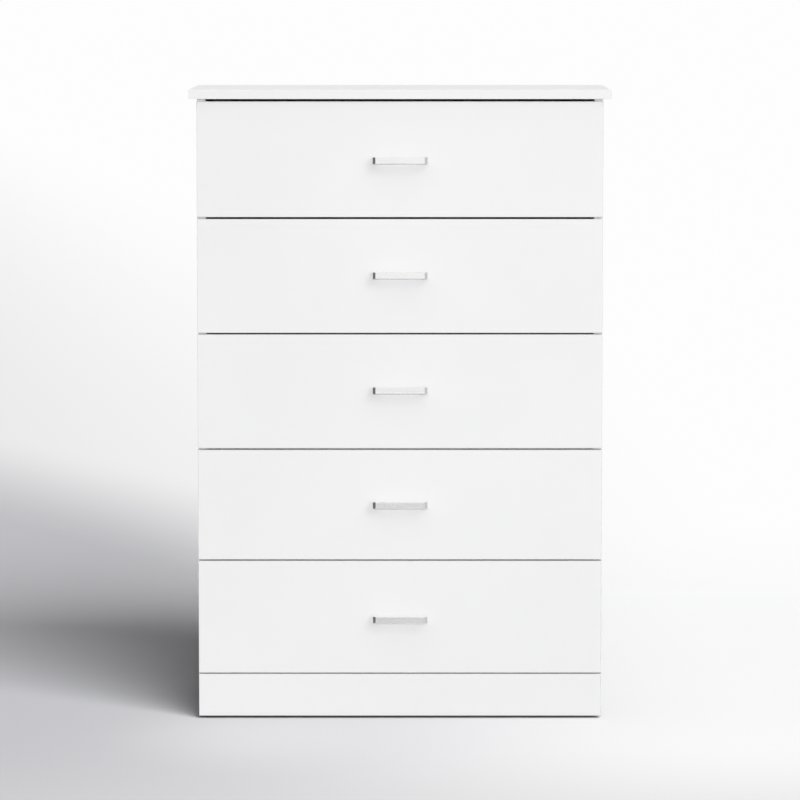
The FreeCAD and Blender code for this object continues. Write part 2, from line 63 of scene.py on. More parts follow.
def makeCamera(c):
    data = bpy.data.cameras.new("camera")
    data.lens = c["lens"]
    data.sensor_width = c["sensor"]
    data.clip_start = c["clipNear"]
    data.clip_end = c["clipFar"]
    obj = bpy.data.objects.new("camera", data)
    bpy.context.scene.collection.objects.link(obj)
    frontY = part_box("drawer_1_front")[0].y
    obj.location = (c["side"], frontY - c["distance"], c["height"])
    obj.rotation_euler = (math.radians(90 - c["tilt"]), 0, 0)
    bpy.context.scene.camera = obj


makeCamera(camera)
print("stage: camera")


# Node trees

noiseLow, noiseHigh = 0.3, 0.7      # most of a noise's values lie between these


def addNode(tree, kind, **settings):
    node = tree.nodes.new(kind)
    for key, value in settings.items():
        setattr(node, key, value)
    return node


def feed(tree, source, target):
    if isinstance(source, (int, float, tuple, list)):
        target.default_value = source
    else:
        tree.links.new(source, target)


def math2(tree, operation, a, b=0.0, clamp=False):
    node = addNode(tree, "ShaderNodeMath", operation=operation, use_clamp=clamp)
    feed(tree, a, node.inputs[0])
    feed(tree, b, node.inputs[1])
    return node.outputs[0]


def vector2(tree, operation, a, b=(0, 0, 0)):
    node = addNode(tree, "ShaderNodeVectorMath", operation=operation)
    feed(tree, a, node.inputs[0])
    feed(tree, b, node.inputs[1])
    return node.outputs[0]


def mixColor(tree, factor, a, b):
    node = addNode(tree, "ShaderNodeMix", data_type="RGBA")
    feed(tree, factor, node.inputs[0])
    feed(tree, a, node.inputs[6])
    feed(tree, b, node.inputs[7])
    return node.outputs[2]


def spread(tree, value, low, high, outLow, outHigh):
    # Carries the range low to high over to outLow to outHigh with a soft start and end.
    node = addNode(tree, "ShaderNodeMapRange", interpolation_type="SMOOTHSTEP")
    feed(tree, value, node.inputs[0])
    for i, v in enumerate((low, high, outLow, outHigh)):
        feed(tree, v, node.inputs[i + 1])
    return node.outputs[0]


def noise(tree, place, scale, detail=2.0, roughness=0.5):
    node = addNode(tree, "ShaderNodeTexNoise")
    feed(tree, place, node.inputs["Vector"])
    feed(tree, scale, node.inputs["Scale"])
    feed(tree, detail, node.inputs["Detail"])
    feed(tree, roughness, node.inputs["Roughness"])
    return node.outputs["Fac"]


def noiseSpread(tree, value, outLow, outHigh):
    return spread(tree, value, noiseLow, noiseHigh, outLow, outHigh)


def splitAxes(tree, vector):
    node = addNode(tree, "ShaderNodeSeparateXYZ")
    feed(tree, vector, node.inputs[0])
    return node.outputs


def startGroup(name, ins, outs):
    tree = bpy.data.node_groups.new(name, "ShaderNodeTree")
    for socketName, kind, value in ins:
        socket = tree.interface.new_socket(socketName, in_out="INPUT", socket_type=kind)
        socket.default_value = value
    for socketName, kind in outs:
        tree.interface.new_socket(socketName, in_out="OUTPUT", socket_type=kind)
    return tree, addNode(tree, "NodeGroupInput"), addNode(tree, "NodeGroupOutput")


def useGroup(tree, group, **values):
    node = addNode(tree, "ShaderNodeGroup", node_tree=group)
    for key, value in values.items():
        feed(tree, value, node.inputs[key])
    return node


boardEdge = {"raggedScale": 70.0, "raggedDetail": 3.0, "raggedLow": 0.35, "seamHalf": 0.00012}


def boardEdgeGroup(s):
    # Distance to the nearest edge of a box: of a point's three distances to the nearest faces,
    # the smallest is the face it lies on, and the middle one is the way to that face's edge.
    tree, i, o = startGroup("boardEdge", [
        ("Place", "NodeSocketVector", (0, 0, 0)), ("Low", "NodeSocketVector", (0, 0, 0)),
        ("High", "NodeSocketVector", (1, 1, 1)), ("Reach", "NodeSocketFloat", 0.003),
        ("Band", "NodeSocketFloat", 0.0006)],
        [("Wear", "NodeSocketFloat"), ("Seam", "NodeSocketFloat")])
    place = i.outputs["Place"]
    below = vector2(tree, "SUBTRACT", place, i.outputs["Low"])
    above = vector2(tree, "SUBTRACT", i.outputs["High"], place)
    near = vector2(tree, "MINIMUM", below, above)
    x, y, z = splitAxes(tree, near)
    smaller = math2(tree, "MINIMUM", x, y)
    larger = math2(tree, "MAXIMUM", x, y)
    toEdge = math2(tree, "MAXIMUM", smaller, math2(tree, "MINIMUM", larger, z))
    ragged = noiseSpread(tree, noise(tree, place, s["raggedScale"], s["raggedDetail"]), s["raggedLow"], 1.0)
    reach = math2(tree, "MULTIPLY", i.outputs["Reach"], ragged)
    wear = spread(tree, toEdge, 0.0, reach, 1.0, 0.0)
    offset = math2(tree, "ABSOLUTE", math2(tree, "SUBTRACT", toEdge, i.outputs["Band"]))
    seam = math2(tree, "LESS_THAN", offset, s["seamHalf"])
    feed(tree, wear, o.inputs["Wear"])
    feed(tree, seam, o.inputs["Seam"])
    return tree


def foldGroup():
    # Lays one half of a mirrored pair over the other: middle + |place - middle| on the folded axes.
    tree, i, o = startGroup("fold", [
        ("Place", "NodeSocketVector", (0, 0, 0)), ("Middle", "NodeSocketVector", (0, 0, 0)),
        ("Axes", "NodeSocketVector", (0, 0, 0))], [("Place", "NodeSocketVector")])
    offset = vector2(tree, "SUBTRACT", i.outputs["Place"], i.outputs["Middle"])
    folded = vector2(tree, "ADD", i.outputs["Middle"], vector2(tree, "ABSOLUTE", offset))
    change = vector2(tree, "SUBTRACT", folded, i.outputs["Place"])
    chosen = vector2(tree, "MULTIPLY", change, i.outputs["Axes"])
    feed(tree, vector2(tree, "ADD", i.outputs["Place"], chosen), o.inputs["Place"])
    return tree


faceHair = 0.0002       # a point this close to a face's plane lies on it


def rawFaceGroup(hair):
    # 1 on those faces of a box that are left raw: within a hair of a chosen face's plane.
    tree, i, o = startGroup("rawFace", [
        ("Place", "NodeSocketVector", (0, 0, 0)), ("Low", "NodeSocketVector", (0, 0, 0)),
        ("High", "NodeSocketVector", (1, 1, 1)), ("LowFaces", "NodeSocketVector", (0, 0, 0)),
        ("HighFaces", "NodeSocketVector", (0, 0, 0))], [("Mask", "NodeSocketFloat")])
    place = i.outputs["Place"]
    found = 0.0
    for end, chosen in (("Low", "LowFaces"), ("High", "HighFaces")):
        gap = vector2(tree, "ABSOLUTE", vector2(tree, "SUBTRACT", place, i.outputs[end]))
        for axisGap, pick in zip(splitAxes(tree, gap), splitAxes(tree, i.outputs[chosen])):
            close = math2(tree, "LESS_THAN", axisGap, hair)
            found = math2(tree, "ADD", found, math2(tree, "MULTIPLY", close, pick), True)
    feed(tree, found, o.inputs["Mask"])
    return tree


chips = {"light": (0.6, 0.45, 0.28, 1), "dark": (0.3, 0.19, 0.1, 1), "stretch": (1.0, 1.0, 2.2),
         "scale": 420.0, "toneLow": 0.1, "toneHigh": 0.75, "fineScale": 900.0, "fineDetail": 4.0}


def chipGroup(s):
    # Pressed wood chips: cells flattened in height, each light in its middle and dark towards its
    # edge, broken up by a fine noise. The dark parts lie lower.
    tree, i, o = startGroup("chipCore", [
        ("Place", "NodeSocketVector", (0, 0, 0)), ("Light", "NodeSocketColor", s["light"]),
        ("Dark", "NodeSocketColor", s["dark"])],
        [("Color", "NodeSocketColor"), ("Height", "NodeSocketFloat")])
    place = i.outputs["Place"]
    cells = addNode(tree, "ShaderNodeTexVoronoi")
    feed(tree, vector2(tree, "MULTIPLY", place, s["stretch"]), cells.inputs["Vector"])
    feed(tree, s["scale"], cells.inputs["Scale"])
    tone = spread(tree, cells.outputs["Distance"], s["toneLow"], s["toneHigh"], 0.0, 1.0)
    fine = noise(tree, place, s["fineScale"], s["fineDetail"])
    mask = math2(tree, "MULTIPLY", tone, fine, True)
    feed(tree, mixColor(tree, mask, i.outputs["Light"], i.outputs["Dark"]), o.inputs["Color"])
    feed(tree, math2(tree, "SUBTRACT", 1.0, mask), o.inputs["Height"])
    return tree


mottling = {"cloudDetail": 4.0, "cloudLow": 0.32, "cloudHigh": 0.68, "skinDetail": 3.0, "skinRough": 0.6}


def mottleGroup(s):
    # Slow cloudy variation and a fine skin: two noises, whose scales the material gives.
    tree, i, o = startGroup("mottle", [
        ("Place", "NodeSocketVector", (0, 0, 0)), ("Stretch", "NodeSocketVector", (1, 1, 1)),
        ("Slow", "NodeSocketFloat", 4.0), ("Fine", "NodeSocketFloat", 900.0)],
        [("Cloud", "NodeSocketFloat"), ("Skin", "NodeSocketFloat")])
    place = vector2(tree, "MULTIPLY", i.outputs["Place"], i.outputs["Stretch"])
    cloud = noise(tree, place, i.outputs["Slow"], s["cloudDetail"])
    feed(tree, spread(tree, cloud, s["cloudLow"], s["cloudHigh"], 0.0, 1.0), o.inputs["Cloud"])
    feed(tree, noise(tree, place, i.outputs["Fine"], s["skinDetail"], s["skinRough"]), o.inputs["Skin"])
    return tree


foldHalves = foldGroup()
edgeGroup = boardEdgeGroup(boardEdge)
rawGroup = rawFaceGroup(faceHair)
chipCore = chipGroup(chips)
mottle = mottleGroup(mottling)


def startMaterial(name):
    material = bpy.data.materials.new(name)
    material.use_nodes = True
    tree = material.node_tree
    shader = tree.nodes["Principled BSDF"]
    place = addNode(tree, "ShaderNodeTexCoord").outputs["Object"]
    return material, tree, shader, place


def bumpInto(tree, shader, height, strength, distance):
    bump = addNode(tree, "ShaderNodeBump")
    bump.inputs["Strength"].default_value = strength
    bump.inputs["Distance"].default_value = distance
    feed(tree, height, bump.inputs["Height"])
    feed(tree, bump.outputs["Normal"], shader.inputs["Normal"])


def gray(value):
    return (value, value, value, 1.0)


# Finishes

melamine = {
    "light": (0.885, 0.885, 0.885, 1), "dark": (0.868, 0.868, 0.870, 1), "worn": (0.80, 0.79, 0.775, 1),
    "seam": (0.70, 0.69, 0.68, 1), "roughLow": 0.34, "roughHigh": 0.42, "band": 0.0008, "reach": 0.0022,
    "wear": 0.25, "seamShare": 0.5, "cloud": 3.0,
    "skin": 1400.0, "skinStrength": 0.10, "skinDepth": 0.00004,
}
foil = {
    "light": (0.86, 0.86, 0.855, 1), "dark": (0.835, 0.835, 0.828, 1), "worn": (0.76, 0.75, 0.73, 1),
    "seam": (0.72, 0.71, 0.70, 1), "roughLow": 0.48, "roughHigh": 0.58, "band": 0.0004, "reach": 0.0015,
    "wear": 0.4, "seamShare": 0.5, "cloud": 3.0,
    "skin": 800.0, "skinStrength": 0.18, "skinDepth": 0.00006,
}
bareCore = {"rough": 0.85, "relief": 6.0}      # chipboard without a coat

# Which faces of a board show the bare core: those at low X, Y, Z and those at high X, Y, Z. A mirrored
# pair also gives the axis that it folds along and the size of one board along that axis.
boards = {
    "top_panel": {"lowRaw": (0, 0, 0), "highRaw": (0, 1, 0)},
    "left_side_panel": {"lowRaw": (0, 0, 1), "highRaw": (0, 1, 1)},
    "right_side_panel": {"lowRaw": (0, 0, 1), "highRaw": (0, 1, 1)},
    "kickboard": {"lowRaw": (0, 0, 1), "highRaw": (0, 0, 0)},
    "cross_rail": {"lowRaw": (0, 0, 0), "highRaw": (0, 1, 0)},
    "rear_rails": {"lowRaw": (0, 0, 0), "highRaw": (0, 0, 0), "fold": 2, "size": 0.080},
}
drawerBoards = {
    "front": {"lowRaw": (0, 0, 0), "highRaw": (0, 0, 0)},
    "sides": {"lowRaw": (0, 0, 1), "highRaw": (0, 1, 0), "fold": 0, "size": 0.012},
    "back": {"lowRaw": (0, 0, 1), "highRaw": (0, 0, 0)},
}


def boardMaterial(node, f, b):
    # A clouded white coat, worn along the edges, with a hairline where the edge band meets the face
    # and the bare core on the raw faces.
    material, tree, shader, place = startMaterial("board_" + node)
    low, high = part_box(node)
    middle = (low + high) / 2
    if "fold" in b:
        low[b["fold"]] = high[b["fold"]] - b["size"]
        axes = [0, 0, 0]
        axes[b["fold"]] = 1
        place = useGroup(tree, foldHalves, Place=place, Middle=tuple(middle),
                         Axes=tuple(axes)).outputs["Place"]
    clouds = useGroup(tree, mottle, Place=place, Slow=f["cloud"], Fine=f["skin"])
    edge = useGroup(tree, edgeGroup, Place=place, Low=tuple(low), High=tuple(high),
                    Reach=f["reach"], Band=f["band"])
    core = useGroup(tree, chipCore, Place=place)
    bare = useGroup(tree, rawGroup, Place=place, Low=tuple(low), High=tuple(high),
                    LowFaces=b["lowRaw"], HighFaces=b["highRaw"])
    color = mixColor(tree, clouds.outputs["Cloud"], f["light"], f["dark"])
    color = mixColor(tree, math2(tree, "MULTIPLY", edge.outputs["Wear"], f["wear"]), color, f["worn"])
    color = mixColor(tree, math2(tree, "MULTIPLY", edge.outputs["Seam"], f["seamShare"]), color, f["seam"])
    color = mixColor(tree, bare.outputs["Mask"], color, core.outputs["Color"])
    feed(tree, color, shader.inputs["Base Color"])
    rough = noiseSpread(tree, clouds.outputs["Skin"], f["roughLow"], f["roughHigh"])
    rough = math2(tree, "MAXIMUM", rough, math2(tree, "MULTIPLY", bare.outputs["Mask"], bareCore["rough"]))
    feed(tree, rough, shader.inputs["Roughness"])
    bareHeight = math2(tree, "MULTIPLY", bare.outputs["Mask"], core.outputs["Height"])
    relief = math2(tree, "MULTIPLY", bareHeight, bareCore["relief"])
    height = math2(tree, "ADD", clouds.outputs["Skin"], relief)
    bumpInto(tree, shader, height, f["skinStrength"], f["skinDepth"])
    return material


hardboard = {
    "white": (0.84, 0.84, 0.825, 1), "whiteDark": (0.80, 0.80, 0.785, 1),
    "brown": (0.235, 0.135, 0.070, 1), "brownDark": (0.150, 0.080, 0.040, 1),
    "cloud": 9.0, "skin": 700.0, "fibreStretch": (1, 1, 0.35), "fibreCloud": 60.0, "fibreSkin": 1300.0,
    "fibreShare": 0.5, "roughLow": 0.5, "roughHigh": 0.6, "bareRough": 0.2, "strength": 0.25,
    "depth": 0.0001,
}


def hardboardMaterial(name, f, middle, axis):
    # Painted on one face and raw brown on the other. Of an upright sheet the half behind its middle
    # is raw, and of a level one the half below it.
    material, tree, shader, place = startMaterial(name)
    bare = math2(tree, "GREATER_THAN", splitAxes(tree, place)[axis], middle)
    if axis == 2:
        bare = math2(tree, "SUBTRACT", 1.0, bare)
    clouds = useGroup(tree, mottle, Place=place, Slow=f["cloud"], Fine=f["skin"])
    fibres = useGroup(tree, mottle, Place=place, Stretch=f["fibreStretch"], Slow=f["fibreCloud"],
                      Fine=f["fibreSkin"])
    brownMask = math2(tree, "MULTIPLY", fibres.outputs["Skin"], clouds.outputs["Cloud"], True)
    brown = mixColor(tree, fibres.outputs["Cloud"], f["brown"], f["brownDark"])
    brown = mixColor(tree, math2(tree, "MULTIPLY", brownMask, f["fibreShare"]), brown, f["brownDark"])
    white = mixColor(tree, clouds.outputs["Cloud"], f["white"], f["whiteDark"])
    feed(tree, mixColor(tree, bare, white, brown), shader.inputs["Base Color"])
    rough = noiseSpread(tree, clouds.outputs["Skin"], f["roughLow"], f["roughHigh"])
    feed(tree, math2(tree, "ADD", rough, math2(tree, "MULTIPLY", bare, f["bareRough"]), True),
         shader.inputs["Roughness"])
    bumpInto(tree, shader, fibres.outputs["Skin"], f["strength"], f["depth"])
    return material


satinNickel = {"light": (0.93, 0.925, 0.92, 1), "dark": (0.905, 0.90, 0.895, 1), "roughLow": 0.12,
               "roughHigh": 0.18, "stretch": (0.03, 1, 1), "slow": 500.0, "fine": 2600.0,
               "strength": 0.05, "depth": 0.00002}
zinc = {"light": (0.66, 0.66, 0.64, 1), "dark": (0.48, 0.48, 0.47, 1), "roughLow": 0.28,
        "roughHigh": 0.45, "stretch": (1, 1, 1), "slow": 260.0, "fine": 1500.0,
        "strength": 0.15, "depth": 0.00004}


def metalMaterial(name, f):
    material, tree, shader, place = startMaterial(name)
    grain = useGroup(tree, mottle, Place=place, Stretch=f["stretch"], Slow=f["slow"], Fine=f["fine"])
    feed(tree, mixColor(tree, grain.outputs["Cloud"], f["light"], f["dark"]), shader.inputs["Base Color"])
    feed(tree, noiseSpread(tree, grain.outputs["Skin"], f["roughLow"], f["roughHigh"]),
         shader.inputs["Roughness"])
    shader.inputs["Metallic"].default_value = 1.0
    bumpInto(tree, shader, grain.outputs["Skin"], f["strength"], f["depth"])
    return material


# One finish function serves enamel, nylon, plastics and dowel wood: two close tones over a fine skin.

enamel = {"light": (0.84, 0.84, 0.825, 1), "dark": (0.79, 0.79, 0.77, 1), "roughLow": 0.28,
          "roughHigh": 0.38, "slow": 30.0, "fine": 500.0, "strength": 0.2, "depth": 0.00008}
nylon = {"light": (0.82, 0.82, 0.79, 1), "dark": (0.76, 0.755, 0.72, 1), "roughLow": 0.42,
         "roughHigh": 0.52, "slow": 90.0, "fine": 1200.0, "strength": 0.12, "depth": 0.00004}
whitePlastic = {"light": (0.85, 0.85, 0.835, 1), "dark": (0.81, 0.81, 0.79, 1), "roughLow": 0.38,
                "roughHigh": 0.5, "slow": 20.0, "fine": 900.0, "strength": 0.1, "depth": 0.00004}
glidePlastic = {"light": (0.17, 0.17, 0.172, 1), "dark": (0.12, 0.12, 0.122, 1), "roughLow": 0.5,
                "roughHigh": 0.65, "slow": 120.0, "fine": 1400.0, "strength": 0.3, "depth": 0.00006}
beech = {"light": (0.62, 0.44, 0.27, 1), "dark": (0.50, 0.33, 0.19, 1), "roughLow": 0.55,
         "roughHigh": 0.7, "slow": 300.0, "fine": 1600.0, "strength": 0.3, "depth": 0.00008}


def plasticMaterial(name, f):
    material, tree, shader, place = startMaterial(name)
    skin = useGroup(tree, mottle, Place=place, Slow=f["slow"], Fine=f["fine"])
    feed(tree, mixColor(tree, skin.outputs["Cloud"], f["light"], f["dark"]), shader.inputs["Base Color"])
    feed(tree, noiseSpread(tree, skin.outputs["Skin"], f["roughLow"], f["roughHigh"]),
         shader.inputs["Roughness"])
    bumpInto(tree, shader, skin.outputs["Skin"], f["strength"], f["depth"])
    return material


def dress(obj, material):
    obj.data.materials.clear()
    obj.data.materials.append(material)


def dressNodes():
    for node, b in boards.items():
        dress(nodes[node], boardMaterial(node, melamine, b))
    backLow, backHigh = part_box("upper_back_panel")
    backMiddle = (backLow.y + backHigh.y) / 2
    backMaterial = hardboardMaterial("back_hardboard", hardboard, backMiddle, 1)
    for node in ("upper_back_panel", "lower_back_panel"):
        dress(nodes[node], backMaterial)
    zincMaterial = metalMaterial("zinc", zinc)
    enamelMaterial = plasticMaterial("runner_enamel", enamel)
    nylonMaterial = plasticMaterial("roller_nylon", nylon)
    for node in ("cabinet_runner_screws", "carcass_cams", "back_nails"):
        dress(nodes[node], zincMaterial)
    dress(nodes["carcass_dowels"], plasticMaterial("beech", beech))
    dress(nodes["cabinet_runners"], enamelMaterial)
    dress(nodes["back_joining_strip"], plasticMaterial("strip_plastic", whitePlastic))
    dress(nodes["floor_glides"], plasticMaterial("glide_plastic", glidePlastic))
    for n in drawerNumbers:
        name = "drawer_%d_" % n
        for part, b in drawerBoards.items():
            finish = melamine if part == "front" else foil
            dress(nodes[name + part], boardMaterial(name + part, finish, b))
        low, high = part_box(name + "bottom")
        dress(nodes[name + "bottom"],
              hardboardMaterial(name + "bottom_hardboard", hardboard, (low.z + high.z) / 2, 2))
        dress(nodes[name + "runners"], enamelMaterial)
        dress(nodes[name + "fasteners"], zincMaterial)
        dress(nodes["drawer_rollers_%d" % n], nylonMaterial)
        dress(nodes["cabinet_rollers_%d" % n], nylonMaterial)


dressNodes()
print("stage: finishes")


# Meshes from grids of points

smoothAngle = 32        # degrees; sharper edges than this stay sharp


def gridMesh(name, grid, closedRows):
    # grid is rows x columns x 3: columns always close on themselves, rows do if closedRows is
    # true, and otherwise a flat face closes each end. The signed volume, the sum of a . (b x c) over
    # the triangles, tells whether the faces point out, and they are turned if they don't.
    rows, columns = grid.shape[:2]
    index = np.arange(rows * columns).reshape(rows, columns)
    beside = np.roll(index, -1, axis=1)
    if closedRows:
        here, there = (index, beside), (np.roll(index, -1, axis=0), np.roll(beside, -1, axis=0))
    else:
        here, there = (index[:-1], beside[:-1]), (index[1:], beside[1:])
    quads = np.stack([here[0], here[1], there[1], there[0]], axis=-1).reshape(-1, 4)
    points = grid.reshape(-1, 3)
    faces = quads.tolist()
    if not closedRows:
        faces += [index[0][::-1].tolist(), index[-1].tolist()]
    corner = points[quads]
    volume = np.einsum("ij,ij->i", corner[:, 0], np.cross(corner[:, 1], corner[:, 2])).sum()
    volume += np.einsum("ij,ij->i", corner[:, 0], np.cross(corner[:, 2], corner[:, 3])).sum()
    if not closedRows:
        for ring, sign in ((index[0], -1), (index[-1], 1)):
            p = points[ring]
            fan = np.cross(p[1:-1], p[2:])
            volume += sign * (fan @ p[0]).sum()
    if volume < 0:
        faces = [face[::-1] for face in faces]
    mesh = bpy.data.meshes.new(name)
    mesh.from_pydata(points.tolist(), [], faces)
    mesh.validate()
    mesh.shade_smooth()
    mesh.set_sharp_from_angle(angle=math.radians(smoothAngle))
    return mesh


def joinMeshes(name, meshes):
    objects = []
    for mesh in meshes:
        obj = bpy.data.objects.new(name, mesh)
        bpy.context.scene.collection.objects.link(obj)
        objects.append(obj)
    with bpy.context.temp_override(active_object=objects[0], selected_editable_objects=objects):
        if len(objects) > 1:
            bpy.ops.object.join()
    objects[0].name = name
    return objects[0]


def addPiece(name, meshes, body, material, replaced):
    obj = joinMeshes(name, meshes)
    dress(obj, material)
    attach(obj, body)
    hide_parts(replaced)
    return obj


# Bow pulls

pullShape = {"corner": 0.007, "innerCorner": 0.0008, "edge": 0.0015, "bar": 0.010, "hold": 0.0002,
             "cornerSteps": 18, "barSteps": 12, "legSteps": 5, "edgeSteps": 6}


def pullGrid(low, high, s):
    # Seen from above the pull is a bar with a leg at each end. Each row of the grid joins a point
    # on the outer outline to one on the inner outline, and the row is a rounded rectangle about
    # the middle of the two. Outer corners are arcs: centre plus radius times (cos a, -sin a). Each
    # flat starts with a narrow strip beside its arc, so that the rest of it is shaded flat.
    half, back, front = (high.x - low.x) / 2, high.y, low.y
    middleX, middleZ = (high.x + low.x) / 2, (high.z + low.z) / 2
    r, q, bar, hold = s["corner"], s["innerCorner"], s["bar"], s["hold"]
    legT = np.append(np.linspace(0, 1, s["legSteps"], endpoint=False), 1 - hold / (back - front - r))
    angle = np.linspace(0, math.pi / 2, s["cornerSteps"])
    barT = np.append(hold / (half - r), np.linspace(0, 1, s["barSteps"] + 1)[1:])
    outerX = np.concatenate([np.full_like(legT, half), half - r + r * np.cos(angle),
                             (half - r) * (1 - barT)])
    outerY = np.concatenate([back + (front + r - back) * legT, front + r - r * np.sin(angle),
                             np.full_like(barT, front)])
    innerHalf, innerFront = half - bar, front + bar
    innerX = np.concatenate([np.full_like(legT, innerHalf), innerHalf - q + q * np.cos(angle),
                             (innerHalf - q) * (1 - barT)])
    innerY = np.concatenate([back + (innerFront + q - back) * legT, innerFront + q - q * np.sin(angle),
                             np.full_like(barT, innerFront)])
    outer = np.stack([outerX, outerY], axis=-1)
    inner = np.stack([innerX, innerY], axis=-1)
    flip = np.array([-1, 1])
    outer = np.concatenate([outer, (outer * flip)[-2::-1]])
    inner = np.concatenate([inner, (inner * flip)[-2::-1]])
    centre, across = (outer + inner) / 2, (outer - inner) / 2
    width = np.linalg.norm(across, axis=1)
    outward = across / width[:, None]
    e, halfHeight = s["edge"], (high.z - low.z) / 2
    turn = np.linspace(0, math.pi / 2, s["edgeSteps"])
    arcX = np.concatenate([[e], e * np.cos(turn), [-hold]])
    arcZ = np.concatenate([[-hold], e * np.sin(turn), [e]])
    quarter = np.arange(4)[:, None] * math.pi / 2
    signX = np.array([1, -1, -1, 1])[:, None] + 0 * arcX
    signZ = np.array([1, 1, -1, -1])[:, None] + 0 * arcX
    alongX = (np.cos(quarter) * arcX - np.sin(quarter) * arcZ).ravel()
    alongZ = (np.sin(quarter) * arcX + np.cos(quarter) * arcZ).ravel()
    reach = (width[:, None] - e) * signX.ravel() + alongX
    height = (halfHeight - e) * signZ.ravel() + alongZ
    flat = centre[:, None, :] + outward[:, None, :] * reach[:, :, None]
    upright = np.broadcast_to(height, reach.shape)
    grid = np.concatenate([flat, upright[:, :, None]], axis=-1)
    return grid + np.array([middleX, 0, middleZ])


def makePulls():
    material = metalMaterial("satin_nickel", satinNickel)
    for n in drawerNumbers:
        node = "drawer_%d_pull" % n
        low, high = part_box(node)
        grid = pullGrid(low, high, pullShape)
        addPiece("pull_%d" % n, [gridMesh("pull_%d" % n, grid, False)], "drawer_%d" % n,
                 material, node)


makePulls()
print("stage: pulls")


# Rollers and glides: a profile turned about an axis

def softOutline(points, cut, steps):
    # Rounds each corner of a closed outline: from a point at a set distance before the corner to
    # one as far after it, along the curve (1-t)^2 a + 2t(1-t) corner + t^2 b.
    points, cut = np.array(points, float), np.array(cut, float)[:, None]
    before = np.roll(points, 1, axis=0) - points
    after = np.roll(points, -1, axis=0) - points
    a = points + before / np.linalg.norm(before, axis=1)[:, None] * cut
    b = points + after / np.linalg.norm(after, axis=1)[:, None] * cut
    t = np.linspace(0, 1, steps)[None, :, None]
    curve = (1 - t) ** 2 * a[:, None] + 2 * t * (1 - t) * points[:, None] + t ** 2 * b[:, None]
    return curve.reshape(-1, 2)


def turned(outline, steps, centre, axis):
    # outline holds (distance along the axis, radius); each point goes round in a circle.
    angle = np.linspace(0, 2 * math.pi, steps, endpoint=False)
    along = np.broadcast_to(outline[:, None, 0], (len(outline), steps))
    first = outline[:, None, 1] * np.cos(angle)
    second = outline[:, None, 1] * np.sin(angle)
    order = {"x": (along, first, second), "z": (first, second, along)}[axis]
    return np.stack(order, axis=-1) + np.array(centre)


rollerShape = {"width": 0.0064, "bore": 0.00205, "hub": 0.0045, "rim": 0.0025, "recess": 0.001,
               "edge": 0.0005, "smallEdge": 0.00025, "roundSteps": 4, "steps": 56}


def rollerOutline(radius, s):
    # Half a section of a roller, as (distance from its middle, radius): the bore, then a hub, a
    # recess and a rim on each side of a plain tread. Only the tread's corners are rounded widely.
    w, inner = s["width"] / 2, radius - s["rim"]
    dip = w - s["recess"]
    points = [(-w, s["bore"]), (-w, s["hub"]), (-dip, s["hub"]), (-dip, inner), (-w, inner), (-w, radius),
              (w, radius), (w, inner), (dip, inner), (dip, s["hub"]), (w, s["hub"]), (w, s["bore"])]
    cuts = 5 * [s["smallEdge"]] + 2 * [s["edge"]] + 5 * [s["smallEdge"]]
    return softOutline(points, cuts, s["roundSteps"])


def makeRollers():
    material = bpy.data.materials["roller_nylon"]
    for kind in ("drawer", "cabinet"):
        for n in drawerNumbers:
            node = "%s_rollers_%d" % (kind, n)
            low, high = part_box(node)
            radius = (high.z - low.z) / 2
            middle = (low + high) / 2
            outline = rollerOutline(radius, rollerShape)
            reach = high.x - rollerShape["width"] / 2
            meshes = [gridMesh(node, turned(outline, rollerShape["steps"],
                                            (side * reach, middle.y, middle.z), "x"), True)
                      for side in (-1, 1)]
            addPiece("%s_roller_pair_%d" % (kind, n), meshes, node, material, node)


makeRollers()
print("stage: rollers")


glideShape = {"radius": 0.0075, "edge": 0.0012, "topEdge": 0.0003, "core": 0.0004, "coreEdge": 0.0001,
              "roundSteps": 5, "steps": 40}


def makeGlides(s):
    # A glide is a disc whose lower edge is rounded, turned about an upright axis with a hair-thin core.
    low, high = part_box("floor_glides")
    top = high.z
    outline = softOutline([(0, s["core"]), (0, s["radius"]), (top, s["radius"]), (top, s["core"])],
                          [s["coreEdge"], s["edge"], s["topEdge"], s["coreEdge"]], s["roundSteps"])
    places = [(x, y, 0) for x in (low.x + s["radius"], high.x - s["radius"])
              for y in (low.y + s["radius"], high.y - s["radius"])]
    meshes = [gridMesh("glide", turned(outline, s["steps"], p, "z"), True) for p in places]
    addPiece("glides", meshes, "carcass", bpy.data.materials["glide_plastic"],
             "floor_glides")


makeGlides(glideShape)
print("stage: glides")


# Floor, light and world

shownWhite = 0.985      # the backdrop's white, seen straight or in a reflection


def seenRay(tree):
    # 1 for a ray that comes straight from the camera or off a shiny or clear surface.
    path = addNode(tree, "ShaderNodeLightPath")
    seen = math2(tree, "MAXIMUM", path.outputs["Is Camera Ray"], path.outputs["Is Glossy Ray"])
    return math2(tree, "MAXIMUM", seen, path.outputs["Is Transmission Ray"])


def addStage(name, points, faces, material):
    mesh = bpy.data.meshes.new(name)
    mesh.from_pydata(points, [], faces)
    obj = bpy.data.objects.new(name, mesh)
    bpy.context.scene.collection.objects.link(obj)
    dress(obj, material)
    return obj


floorLook = {
    "size": 160.0, "rough": 0.9,
    # left and right: painted shade, the floor darker to the left as if the light fell off; pool: a painted
    # pale pool of light before the left foot; near: the gray that the painted shade evens out to towards
    # the viewer
    "left": (0.133, 0.133, 0.139, 1), "right": (0.223, 0.223, 0.224, 1), "leftEdge": -0.80,
    "rightEdge": 0.68,
    "pool": 0.20, "poolShare": 0.45, "poolMiddle": (-0.25, -0.36, 0), "poolReach": (0.33, 0.48, 1),
    "near": 0.155, "nearFrom": -0.4, "nearTo": -1.8,
    "bounce": 0.072,
    "slant": 1.77, "clearFrom": 0.91, "clearTo": 2.86,
    "aheadFrom": -3.8, "aheadTo": -6.5, "wideFrom": -2.5, "wideTo": -6.0,
    "far": 0.66, "farSlant": 5.8, "farFrom": -16.7, "farTo": 11.8, "sideFrom": -0.08, "sideTo": 0.92,
}


